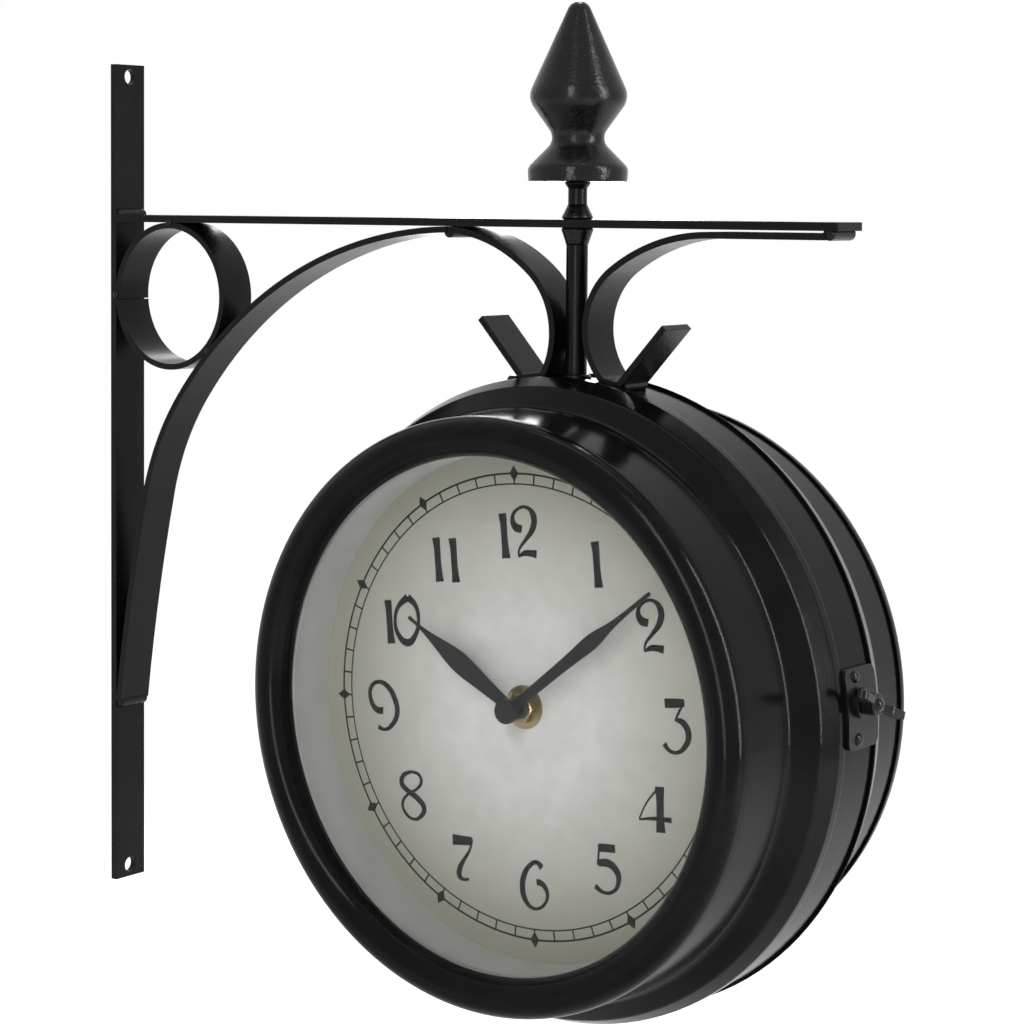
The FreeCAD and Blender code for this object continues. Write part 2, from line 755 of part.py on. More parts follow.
def motion_wheel():
    wheel = gear(motion_teeth, coarse_module, motion_back, motion_front, train_height, 270 + 180 / motion_teeth)
    pinion = gear(hour_pinion_teeth, fine_module, motion_front, hour_wheel_front + side_play, train_height, 270)
    pivot = disc(setter_pivot_radius, hour_wheel_front, dial_back - 0.7, 0, train_height)
    shaft = disc(setter_radius, knob_back + 1.0, motion_back, 0, train_height)
    return wheel.fuse([pinion, pivot, shaft]).removeSplitter()


def setting_knob():
    knob = disc(knob_radius, knob_back, knob_front, 0, train_height)
    notches = []
    for k in range(12):
        angle = math.pi / 6 * k
        notches.append(disc(0.6, knob_back - 1, knob_front + 1, knob_radius * math.cos(angle),
                            train_height + knob_radius * math.sin(angle)))
    bore = disc(setter_radius + press_clearance, knob_back + 1.0, knob_front + 1, 0, train_height)
    return knob.cut(notches).cut(bore)


# ---- hands ----
def hand_blade(shape, back, angle):
    """Leaf-shaped blade drawn through its half widths."""
    turn = math.radians(angle)

    def place(along, across):
        right = along * math.sin(turn) + across * math.cos(turn)
        up = along * math.cos(turn) - across * math.sin(turn)
        return V(rod_x + right, -back, case_z + up)

    edges = []
    for side in (1, -1):
        curve = Part.BSplineCurve()
        curve.interpolate([place(along, side * half) for along, half in shape])
        edges.append(curve.toShape())
    tip, root = shape[-1], shape[0]
    point = Part.Arc(place(tip[0], tip[1]), place(tip[0] + tip[1] * 0.7, 0), place(tip[0], -tip[1]))
    edges.append(point.toShape())
    edges.append(Part.LineSegment(place(root[0], root[1]), place(root[0], -root[1])).toShape())
    return Part.Face(Part.Wire(Part.__sortEdges__(edges))).extrude(V(0, -hand_sheet, 0))


def hand(shape, back, angle, collet_radius, collet_depth, bore):
    blade = hand_blade(shape, back, angle)
    collet = disc(collet_radius, back - collet_depth, back + hand_sheet)
    return blade.fuse(collet).removeSplitter().cut(disc(bore, back - 5, back + 5))


def minute_hand():
    return hand(minute_hand_shape, minute_hand_back, minute_hand_angle, minute_collet_radius, 0.8,
                arbor_radius + press_clearance)


def hour_hand():
    return hand(hour_hand_shape, hour_hand_back, hour_hand_angle, hour_collet_radius, 1.2,
                tube_radius + press_clearance)


def centre_cap():
    back = minute_hand_back + hand_sheet
    section = ((0, back, 0), (cap_radius, back, 0.3), (cap_radius, back + cap_length, 0.9),
               (0, back + cap_length, 0))
    cap = spin(rounded_face(section, on_case))
    return cap.cut(disc(arbor_radius + press_clearance, back - 1, back + 0.8))


# ---- clasp ----
def on_clasp(radius, left, right, across=0.0, up=0.0):
    """Cylinder along X placed from the case centre at the clasp's height."""
    start = V(rod_x + left, across, case_z + clasp_height + up)
    return Part.makeCylinder(radius, right - left, start, V(1, 0, 0))


keeper_radius = band_radius + seat_gap + keeper_thickness
boss_face = keeper_radius + 0.4
screw_tip = spigot_radius - tongue_drop + 0.6
rivet_across = -2.0


def clasp_keeper_plate():
    middle = (keeper_back + keeper_front) / 2
    half = (keeper_back - keeper_front) / 2
    corners = [(sign_y * half + middle, sign_z * keeper_half_height, 3.0)
               for sign_y, sign_z in ((-1, -1), (1, -1), (1, 1), (-1, 1))]

    def place(y, z):
        return V(rod_x + band_radius - keeper_block / 2, y, case_z + clasp_height - keeper_drop + z)

    block = rounded_face(corners, place).extrude(V(keeper_block, 0, 0))
    curved = ring(keeper_radius, band_radius + seat_gap, -20, 20).common(block)
    boss = on_clasp(boss_radius, band_radius - 4, boss_face).cut(band_space(band_radius + seat_gap))
    hole = on_clasp(screw_radius + running_clearance, band_radius - 10, boss_face + 10)
    return curved.fuse(boss).removeSplitter().cut(hole).cut(rivets(running_clearance))


def rivets(clearance):
    """The two rivets through keeper plate and band; clearance swells them for their holes."""
    solids = []
    for offset in (-rivet_offset, rivet_offset):
        angle = math.degrees(math.asin((clasp_height - keeper_drop + offset) / band_radius))
        shank = Part.makeCylinder(rivet_radius + clearance, keeper_thickness + sheet + 1.4,
                                  V(rod_x + band_radius - sheet - 0.7, rivet_across, case_z), V(1, 0, 0))
        if clearance == 0:
            head = Part.makeSphere(rivet_head_radius, V(rod_x + keeper_radius - 1.2, rivet_across, case_z))
            head = head.cut(Part.makeBox(20, 20, 20, V(rod_x + keeper_radius + 0.06 - 20, -10, case_z - 10)))
            tail_start = V(rod_x + band_radius - sheet - 0.76, rivet_across, case_z)
            tail = Part.makeCylinder(2.2, 0.7, tail_start, V(1, 0, 0))
            shank = shank.fuse([head, tail]).removeSplitter()
        shank.rotate(V(rod_x, 0, case_z), V(0, 1, 0), -angle)
        solids.append(shank)
    return Part.makeCompound(solids)


def clasp_rivets():
    return rivets(0.0)


def clasp_washer():
    return on_clasp(washer_radius, boss_face, boss_face + washer_thickness).cut(
        on_clasp(screw_radius + running_clearance, boss_face - 1, boss_face + 5))


def wing_screw():
    base = boss_face + washer_thickness
    shank = on_clasp(screw_radius, screw_tip, base + 1)
    hub = on_clasp(hub_radius, base, base + hub_length)
    rims = [edge for edge in hub.Edges if edge.Curve.TypeId == "Part::GeomCircle"]
    hub = hub.makeFillet(0.5, rims)
    dome = Part.makeSphere(hub_radius - 1.2, V(rod_x + base + hub_length - 1.0, 0, case_z + clasp_height))
    ears = []
    for side in (1, -1):
        corners = ((base + 1.2, 0, 0), (base + 1.4, side * (hub_radius + 1.5), 2.0),
                   (base + 0.4 * ear_flare, side * ear_reach, 2.4), (base + ear_flare, side * ear_reach, 2.4),
                   (base + 0.9 * ear_flare, side * (ear_reach - 8.6), 2.6),
                   (base + 4.8, side * (hub_radius + 0.4), 1.4), (base + 4.0, 0, 0))

        def place(x, across):
            return V(rod_x + x, -ear_thickness / 2, case_z + clasp_height + across)

        ears.append(rounded_face(corners, place).extrude(V(0, ear_thickness, 0)))
    wings = ears[0].fuse(ears[1])
    wings.rotate(V(rod_x, 0, case_z + clasp_height), V(1, 0, 0), ear_tilt)
    return shank.fuse([hub, dome, wings]).removeSplitter()


# ---- hinge ----
hinge_x = rod_x - hinge_offset
hinge_y = cone_start


def upright_pin(radius, low, high):
    """Cylinder on the hinge axis; heights from the case centre."""
    return Part.makeCylinder(radius, high - low, V(hinge_x, hinge_y, case_z + low))


def hinge_leaf_band():
    high = hinge_half_height
    face_x = hinge_x + knuckle_radius - leaf_thickness
    leaf = Part.makeBox(6, 15, 2 * high, V(face_x, hinge_y - knuckle_radius - 15, case_z - high))
    leaf = leaf.cut(band_space(band_radius + seat_gap))
    pieces = []
    for low, top in ((-high, -middle_knuckle - side_play), (middle_knuckle + side_play, high)):
        web_corner = V(face_x, hinge_y - knuckle_radius, case_z + low)
        web = Part.makeBox(leaf_thickness, knuckle_radius, top - low, web_corner)
        pieces += [web, upright_pin(knuckle_radius, low, top)]
    leaf = leaf.fuse(pieces).removeSplitter()
    return leaf.cut(upright_pin(pin_radius + press_clearance, -high - 1, high + 1))


def hinge_leaf_door():
    near = hinge_y + knuckle_radius + 0.35
    face_x = hinge_x + knuckle_radius - leaf_thickness
    leaf_corner = V(face_x - 0.6, near, case_z - hinge_half_height)
    leaf = Part.makeBox(9, door_leaf_width, 2 * hinge_half_height, leaf_corner)
    web = Part.makeBox(leaf_thickness, near - hinge_y + 0.5, 2 * middle_knuckle,
                       V(face_x, hinge_y, case_z - middle_knuckle))
    knuckle = upright_pin(knuckle_radius, -middle_knuckle, middle_knuckle)
    body = leaf.cut(cone_space()).fuse([web, knuckle]).removeSplitter()
    return body.cut(upright_pin(pin_radius + running_clearance, -middle_knuckle - 1, middle_knuckle + 1))


def cone_space():
    """Everything inside the door's cone, grown by the seat gap."""
    start, moves = shell_moves(0)
    point = start
    heading = 90
    outer = sheet / 2 + seat_gap
    outline = [(0, cone_start - 5), (rim_radius + seat_gap, cone_start - 5)]
    for move in moves[:2]:
        outline.append(side_point(point, heading, -outer))
        point, heading = step_along(point, heading, move)
    edge = side_point(point, heading, -outer)
    outline += [edge, (edge[0] - 3.0, edge[1] + 3.0), (0, edge[1] + 3.0)]
    corners = [(a, b, 0) for a, b in outline]
    return to_rear(spin(rounded_face(corners, on_case)))


def hinge_pin():
    high = hinge_half_height
    pin = upright_pin(pin_radius, -high, high)
    caps = [upright_pin(pin_radius + 0.9, high, high + 1.0), upright_pin(pin_radius + 0.9, -high - 1.0, -high)]
    return pin.fuse(caps).removeSplitter()


# ---- assembly ----
bracket = {
    "wall_bar": wall_bar(),
    "arm_bar": arm_bar(),
    "corner_ring": corner_ring(),
    "brace_strip": brace_strip(),
    "scroll_wall_side": scroll_wall_side(),
    "scroll_tip_side": scroll_tip_side(),
    "hanger_rod": hanger_rod(),
    "case_band": case_band(),
}
parts = dict(bracket)
parts["weld_beads"] = weld_beads(list(bracket.values()))
for make in (finial, finial_collar, front_shell, rear_shell, clasp_keeper_plate, clasp_rivets, clasp_washer,
             wing_screw, hinge_leaf_band, hinge_leaf_door, hinge_pin):
    parts[make.__name__] = make()
for make in (bezel, glass, glass_seal, reveal_ring, dial, movement_case, movement_cover, battery,
             battery_contacts,
             coil_board, nut_washer, hex_nut, minute_arbor, minute_hand, centre_cap, hour_wheel, hour_hand,
             motion_wheel, setting_knob):
    shape = make()
    parts["front_" + make.__name__] = shape
    parts["rear_" + make.__name__] = to_rear(shape)

for name, shape in sorted(parts.items()):
    shape.exportStep("parts/" + name + ".step")
    box = shape.BoundBox
    print("%-22s %d solids %9.1f mm3  x %.1f..%.1f  y %.1f..%.1f  z %.1f..%.1f" % (
        name, len(shape.Solids), shape.Volume, box.XMin, box.XMax, box.YMin, box.YMax, box.ZMin, box.ZMax))
print(len(parts), "pieces")
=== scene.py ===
# %% [markdown]
# A station clock with a dial on each side hangs from an iron bracket.
# The solids of the clock are already built and packed as a fixed frame, in metres.
# This lesson loads them, gives each one a finish, prints the dials, and then sets the camera and the light.

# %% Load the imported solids
import json
import math
import bmesh
import bpy
from mathutils import Matrix, Vector


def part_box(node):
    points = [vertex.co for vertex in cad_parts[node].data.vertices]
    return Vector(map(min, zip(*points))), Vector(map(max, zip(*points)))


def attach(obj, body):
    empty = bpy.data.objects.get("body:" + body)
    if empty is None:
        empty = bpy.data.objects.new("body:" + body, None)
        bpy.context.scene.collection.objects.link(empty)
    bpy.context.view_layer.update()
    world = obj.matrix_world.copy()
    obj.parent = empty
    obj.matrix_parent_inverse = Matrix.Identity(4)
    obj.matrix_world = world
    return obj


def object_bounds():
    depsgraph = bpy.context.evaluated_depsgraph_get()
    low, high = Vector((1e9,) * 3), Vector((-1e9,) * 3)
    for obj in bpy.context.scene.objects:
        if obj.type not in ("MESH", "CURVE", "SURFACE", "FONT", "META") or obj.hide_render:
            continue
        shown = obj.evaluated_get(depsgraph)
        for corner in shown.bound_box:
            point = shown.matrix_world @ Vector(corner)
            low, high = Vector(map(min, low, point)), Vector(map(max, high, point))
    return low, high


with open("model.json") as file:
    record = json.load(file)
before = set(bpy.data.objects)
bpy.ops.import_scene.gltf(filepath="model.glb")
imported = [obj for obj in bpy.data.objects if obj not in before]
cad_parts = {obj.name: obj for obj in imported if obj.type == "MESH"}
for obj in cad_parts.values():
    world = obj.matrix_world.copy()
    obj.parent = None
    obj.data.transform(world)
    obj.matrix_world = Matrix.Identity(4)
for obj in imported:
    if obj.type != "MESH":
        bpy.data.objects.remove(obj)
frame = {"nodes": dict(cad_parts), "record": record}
cad_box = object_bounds()
nodes = frame["nodes"]

# %% [markdown]
# Everything printed on a dial turns round the same line, the axis of the hands. It is taken from the
# front dial's own box, so the print follows the solid and isn't placed by a typed number.

# %% Places that the pieces share
MM = 0.001
dial_low, dial_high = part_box("front_dial")
clock_axis = (dial_low + dial_high) / 2
clock_axis.y = 0.0
dial_face = -dial_low.y
print("clock axis:", [round(v, 4) for v in clock_axis], "dial face:", round(dial_face, 5))

# %% [markdown]
# A finish is never one flat colour, because paint, metal and plastic all vary a little from place to
# place. Each material below starts from the same three steps: a noise over the object's own coordinates,
# a range that picks the useful part of that noise, and a socket on the shader that takes it. Object
# coordinates suit this clock, since every solid keeps its place in its mesh and nothing is stretched.

# %% Helpers for materials
def new_material(name):
    material = bpy.data.materials.new(name)
    material.use_nodes = True
    return material, material.node_tree.nodes["Principled BSDF"]


def add_node(material, kind, **inputs):
    node = material.node_tree.nodes.new(kind)
    for name, value in inputs.items():
        node.inputs[name.replace("_", " ")].default_value = value
    return node


def join(material, start, end):
    material.node_tree.links.new(start, end)


def noise(material, scale, detail=2.0, stretch=(1.0, 1.0, 1.0)):
    place = add_node(material, "ShaderNodeTexCoord")
    mapping = add_node(material, "ShaderNodeMapping", Scale=stretch)
    texture = add_node(material, "ShaderNodeTexNoise", Scale=scale, Detail=detail)
    join(material, place.outputs["Object"], mapping.inputs["Vector"])
    join(material, mapping.outputs["Vector"], texture.inputs["Vector"])
    return texture.outputs["Fac"]


def ranged(material, value, start, end, low, high):
    node = add_node(material, "ShaderNodeMapRange", From_Min=start, From_Max=end, To_Min=low, To_Max=high)
    join(material, value, node.inputs["Value"])
    return node.outputs["Result"]


def mixed(material, factor, first, second):
    node = add_node(material, "ShaderNodeMix")
    node.data_type = "RGBA"
    join(material, factor, node.inputs["Factor"])
    colour_sockets = [socket for socket in node.inputs if socket.type == "RGBA"]
    for socket, colour in zip(colour_sockets, (first, second)):
        if isinstance(colour, tuple):
            socket.default_value = (*colour, 1.0)
        else:
            join(material, colour, socket)
    return next(socket for socket in node.outputs if socket.type == "RGBA")


def bumped(material, shader, height, distance, edge=0.0):
    bump = add_node(material, "ShaderNodeBump", Distance=distance)
    join(material, height, bump.inputs["Height"])
    if edge > 0:
        rounded = add_node(material, "ShaderNodeBevel", Radius=edge)
        rounded.samples = 4
        join(material, rounded.outputs["Normal"], bump.inputs["Normal"])
    join(material, bump.outputs["Normal"], shader.inputs["Normal"])


# %% [markdown]
# The bracket and the case are painted black. Brushed or sprayed paint dries with a faint orange peel, a
# few dust specks stand in it, and its gloss changes softly over a hand's width. The peel is a bump, the
# specks are small peaks of a finer noise, and a wide noise moves the roughness. The specular level sits
# on its own socket. No painted edge is perfectly sharp either: paint gathers on it, and that round is
# what catches the light as a thin bright line. A Bevel modifier could cut it, but on these triangle
# meshes it leaves dark lines, so a Bevel node turns the surface's normal near each edge instead.

# %% Black paint
def black_paint(name, tone, gloss, peel, peel_size, specks, specular, edge=0.0005):
    material, shader = new_material(name)
    wide = noise(material, 38.0, 3.0)
    dark = tuple(tone * 0.7 for _ in range(3))
    light = (tone * 1.5, tone * 1.45, tone * 1.4)
    fine = noise(material, 2600.0, 1.0)
    speck = ranged(material, fine, 0.70, 0.78, 0.0, specks)
    base = mixed(material, ranged(material, wide, 0.35, 0.65, 0.0, 1.0), dark, light)
    join(material, mixed(material, speck, base, (0.30, 0.29, 0.28)), shader.inputs["Base Color"])
    rough = ranged(material, wide, 0.3, 0.7, gloss * 0.85, gloss * 1.2)
    join(material, rough, shader.inputs["Roughness"])
    shader.inputs["Specular IOR Level"].default_value = specular
    bumped(material, shader, noise(material, 1.0 / peel_size, 2.0), peel, edge)
    return material


# %% [markdown]
# Bare metal shows its machining: fine lines and a slightly uneven polish. The noise is stretched along
# one way for the lines, and feeds both the roughness and a very low bump.

# %% Bare metal
def bare_metal(name, colour, gloss, lines):
    material, shader = new_material(name)
    grain = noise(material, 900.0, 3.0, lines)
    darker = tuple(c * 0.82 for c in colour)
    join(material, mixed(material, ranged(material, grain, 0.35, 0.65, 0.0, 1.0), darker, colour),
         shader.inputs["Base Color"])
    join(material, ranged(material, grain, 0.3, 0.7, gloss * 0.8, gloss * 1.3), shader.inputs["Roughness"])
    shader.inputs["Metallic"].default_value = 1.0
    bumped(material, shader, grain, 0.00002)
    return material


# %% [markdown]
# Moulded plastic and rubber have the fine even grain of the mould and a broad soft sheen.

# %% Moulded plastic and rubber
def moulded(name, colour, gloss, grain_size, grain_depth, shift=0.85):
    material, shader = new_material(name)
    wide = noise(material, 60.0, 2.0)
    second = tuple(c * shift for c in colour)
    join(material, mixed(material, ranged(material, wide, 0.35, 0.65, 0.0, 1.0), colour, second),
         shader.inputs["Base Color"])
    join(material, ranged(material, wide, 0.3, 0.7, gloss * 0.88, gloss * 1.12), shader.inputs["Roughness"])
    bumped(material, shader, noise(material, 1.0 / grain_size, 1.0), grain_depth)
    return material


# %% [markdown]
# The dial is painted sheet. It is a lighter neutral grey in the middle and turns to a warm olive beige
# towards its rim. The warm olive tint is the dial's own, but the darkening towards the rim is painted
# shade, the shade that the deep reveal around the dial casts on it. A Mapping node moves the centre of the
# coordinates onto the dial's axis, and the distance from that axis drives the colour.

# %% Dial paint
def radius_of(material):
    place = add_node(material, "ShaderNodeTexCoord")
    mapping = add_node(material, "ShaderNodeMapping", Location=-clock_axis, Scale=(1.0, 0.0, 1.0))
    length = add_node(material, "ShaderNodeVectorMath")
    length.operation = "LENGTH"
    join(material, place.outputs["Object"], mapping.inputs["Vector"])
    join(material, mapping.outputs["Vector"], length.inputs[0])
    return length.outputs["Value"]


def dial_paint(name, middle, rim_tint_and_shade, edge_radius):
    material, shader = new_material(name)
    # This ramp darkens the dial towards its rim with painted shade of the reveal, and warms it with the
    # dial's own tint.
    rim_tint_and_shade_ramp = ranged(material, radius_of(material), 0.030, edge_radius, 0.0, 1.0)
    tone = mixed(material, rim_tint_and_shade_ramp, middle, rim_tint_and_shade)
    mottle = ranged(material, noise(material, 150.0, 4.0), 0.35, 0.65, 0.0, 0.12)
    join(material, mixed(material, mottle, tone, tuple(c * 0.75 for c in rim_tint_and_shade)), shader.inputs["Base Color"])
    rough = ranged(material, noise(material, 40.0, 2.0), 0.3, 0.7, 0.42, 0.55)
    join(material, rough, shader.inputs["Roughness"])
    shader.inputs["Specular IOR Level"].default_value = 0.3
    bumped(material, shader, noise(material, 400.0, 2.0), 0.000006)
    return material


# %% [markdown]
# The glass is a flat clear pane. Light has to reach the dial through it, and a path tracer treats a
# refracting pane as solid for shadows, so rays that only test for shadow or carry diffuse light go
# through a transparent shader instead.

# %% Clear glass
def clear_glass(name):
    material, shader = new_material(name)
    shader.inputs["Base Color"].default_value = (0.97, 0.985, 0.975, 1.0)
    shader.inputs["Transmission Weight"].default_value = 1.0
    shader.inputs["IOR"].default_value = 1.22
    haze = ranged(material, noise(material, 30.0, 3.0), 0.45, 0.75, 0.0, 0.03)
    join(material, haze, shader.inputs["Roughness"])
    path = add_node(material, "ShaderNodeLightPath")
    either = add_node(material, "ShaderNodeMath")
    either.operation = "MAXIMUM"
    join(material, path.outputs["Is Shadow Ray"], either.inputs[0])
    join(material, path.outputs["Is Diffuse Ray"], either.inputs[1])
    clear = add_node(material, "ShaderNodeBsdfTransparent")
    blend = add_node(material, "ShaderNodeMixShader")
    output = material.node_tree.nodes["Material Output"]
    join(material, either.outputs[0], blend.inputs[0])
    join(material, shader.outputs["BSDF"], blend.inputs[1])
    join(material, clear.outputs["BSDF"], blend.inputs[2])
    join(material, blend.outputs["Shader"], output.inputs["Surface"])
    return material


# %% [markdown]
# Each solid names the finish it takes, in the record that came with the frame. One dictionary of finishes
# is then enough, and every solid looks its own up.

# %% The finishes
finishes = {
    "bracket_paint": black_paint("bracket paint", tone=0.003, gloss=0.28, peel=0.00005, peel_size=0.0016,
                                 specks=0.10, specular=0.12),
    "weld_paint": black_paint("weld paint", tone=0.003, gloss=0.26, peel=0.00016, peel_size=0.0011,
                              specks=0.10, specular=0.18),
    "finial_paint": black_paint("finial paint", tone=0.003, gloss=0.22, peel=0.00012, peel_size=0.0013,
                                specks=0.20, specular=0.20),
    "case_paint": black_paint("case enamel", tone=0.002, gloss=0.17, peel=0.00003, peel_size=0.0030,
                              specks=0.04, specular=0.09, edge=0.0010),
    "fitting_paint": black_paint("fitting paint", tone=0.003, gloss=0.26, peel=0.00006, peel_size=0.0010,
                                 specks=0.10, specular=0.20, edge=0.0004),
    "cap_paint": black_paint("cap paint", tone=0.004, gloss=0.28, peel=0.000002, peel_size=0.0030,
                             specks=0.0, specular=0.2, edge=0.0),
    "hand_paint": black_paint("hand paint", tone=0.010, gloss=0.46, peel=0.000002, peel_size=0.0040,
                              specks=0.0, specular=0.12, edge=0.0),
    "steel": bare_metal("bright steel", (0.60, 0.60, 0.62), gloss=0.28, lines=(1.0, 1.0, 9.0)),
    "brass_nut": bare_metal("machined brass", (0.30, 0.235, 0.13), gloss=0.34, lines=(1.0, 9.0, 1.0)),
    "contact_metal": bare_metal("nickel plate", (0.70, 0.70, 0.66), gloss=0.30, lines=(1.0, 1.0, 6.0)),
    "dial_glass": clear_glass("clear glass"),
    "seal_rubber": moulded("seal rubber", (0.022, 0.022, 0.022), gloss=0.6, grain_size=0.0006,
                           grain_depth=0.00002),
    "reveal_paint": moulded("reveal paint", (0.50, 0.49, 0.48), gloss=0.48, grain_size=0.0012,
                            grain_depth=0.00002, shift=0.92),
    # The rim colour holds the dial's own olive tint and the painted shade of the deep reveal.
    "dial_paint": dial_paint("dial paint", middle=(0.68, 0.67, 0.65), rim_tint_and_shade=(0.30, 0.29, 0.24),
                             edge_radius=0.088),
    "movement_plastic": moulded("movement plastic", (0.035, 0.035, 0.038), gloss=0.42, grain_size=0.0005,
                                grain_depth=0.00002),
    "battery_sleeve": moulded("battery sleeve", (0.03, 0.05, 0.10), gloss=0.22, grain_size=0.0020,
                              grain_depth=0.00001),
    "coil_board": moulded("coil and board", (0.05, 0.20, 0.09), gloss=0.35, grain_size=0.0010,
                          grain_depth=0.00003),
    "gear_plastic": moulded("gear plastic", (0.72, 0.71, 0.66), gloss=0.40, grain_size=0.0006,
                            grain_depth=0.00001),
    "knob_plastic": moulded("knob plastic", (0.06, 0.06, 0.06), gloss=0.45, grain_size=0.0005,
                            grain_depth=0.00002),
}
for part in frame["record"]["subparts"]:
    solid = nodes[part["node"]]
    material = finishes[part["material_slot"]]
    if not solid.material_slots:
        solid.data.materials.append(material)
    for slot in solid.material_slots:
        slot.material = material
print("finishes:", len(finishes))

# %% [markdown]
# The minute track is printed on the dial: a thick outer line, a thin inner line, a tick for each minute
# between them, and a long diamond on the outer line at each hour. On the clock in the photograph the dial
# sits turned a few degrees in its case, and the print turns with it. The print is a film of ink, so each
# shape is a thin plate set into the dial's face. A line is one small rectangle spun a full turn round the
# dial's axis.

# %% Dial print values
dial_turn = math.radians(3.75)
ink_back = -(dial_face - 0.03 * MM)
ink_front = -(dial_face + 0.03 * MM)
outer_line = 85.0 * MM
inner_line = 81.2 * MM
line_width = 0.75 * MM
diamond_size = (4.0 * MM, 6.0 * MM)


# %% Helpers for the print
def printed_ring(shape, radius, width):
    corners = [
        shape.verts.new((radius + side * width / 2, depth, 0.0))
        for side, depth in ((-1, ink_back), (1, ink_back), (1, ink_front), (-1, ink_front))
    ]
    section = shape.faces.new(corners)
    edges = list(section.edges)
    shape.faces.remove(section)
    bmesh.ops.spin(shape, geom=corners + edges, cent=(0, 0, 0), axis=(0, 1, 0), angle=math.tau, steps=180,
                   use_merge=True)


def printed_block(shape, size, radius, angle):
    place = Matrix.Rotation(angle, 4, "Y") @ Matrix.Translation((0, (ink_back + ink_front) / 2, radius))
    scale = Matrix.Diagonal((size[0], ink_back - ink_front, size[1], 1.0))
    bmesh.ops.create_cube(shape, size=1.0, matrix=place @ scale)


def printed_diamond(shape, size, radius, angle):
    place = Matrix.Rotation(angle, 4, "Y") @ Matrix.Translation((0, (ink_back + ink_front) / 2, radius))
    scale = Matrix.Diagonal((size[0] / 2, ink_back - ink_front, size[1] / 2, 1.0))
    upright = Matrix.Rotation(math.pi / 2, 4, "X")
    bmesh.ops.create_cone(shape, cap_ends=True, segments=4, radius1=1.0, radius2=1.0, depth=1.0,
                          matrix=place @ scale @ upright)


def to_dial(turn):
    return Matrix.Translation(clock_axis) @ Matrix.Rotation(-turn, 4, "Y")


def to_back():
    return (Matrix.Translation(clock_axis) @ Matrix.Rotation(math.pi, 4, "Z")
            @ Matrix.Translation(-clock_axis))


def finished(shape, name, material, place, body):
    bmesh.ops.remove_doubles(shape, verts=shape.verts, dist=1e-6)
    bmesh.ops.transform(shape, matrix=place, verts=shape.verts)
    bmesh.ops.recalc_face_normals(shape, faces=shape.faces)
    mesh = bpy.data.meshes.new(name)
    shape.to_mesh(mesh)
    piece = bpy.data.objects.new(name, mesh)
    bpy.context.scene.collection.objects.link(piece)
    mesh.materials.append(material)
    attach(piece, body)
    print(name, len(mesh.polygons), "faces")


# %% [markdown]
# Printing ink lies matt and almost black on the paint, a little thinner in some places than in others. It
# mirrors less than the paint of the hands, so that the digits stay darker than the hands above them.

# %% Ink
def ink(name):
    material, shader = new_material(name)
    tone = mixed(material, ranged(material, noise(material, 500.0, 3.0), 0.4, 0.6, 0.0, 1.0),
                 (0.005, 0.005, 0.005), (0.012, 0.012, 0.012))
    join(material, tone, shader.inputs["Base Color"])
    join(material, ranged(material, noise(material, 120.0, 2.0), 0.3, 0.7, 0.45, 0.6),
         shader.inputs["Roughness"])
    shader.inputs["Specular IOR Level"].default_value = 0.08
    return material


dial_ink = ink("dial ink")


# %% Minute track
def minute_track():
    shape = bmesh.new()
    printed_ring(shape, outer_line, line_width)
    printed_ring(shape, inner_line, line_width * 0.75)
    for minute in range(60):
        angle = math.tau * minute / 60
        middle = (outer_line + inner_line) / 2
        printed_block(shape, (line_width * 0.9, outer_line - inner_line), middle, angle)
        if minute % 5 == 0:
            printed_diamond(shape, diamond_size, outer_line, angle)
    return shape


finished(minute_track(), "front_minute_track", dial_ink, to_dial(dial_turn), "clock")
finished(minute_track(), "rear_minute_track", dial_ink, to_back() @ to_dial(dial_turn), "rear_door")

# %% [markdown]
# The numerals look written with a broad pen: a stroke swells and thins along its way. A curve with a
# radius at each point draws exactly that. Each stroke is a smooth spline through a few points, swept with
# a round section, and then pressed flat into a film of ink. Points are in millimetres from the numeral's
# middle, and the third number is half the stroke's width.

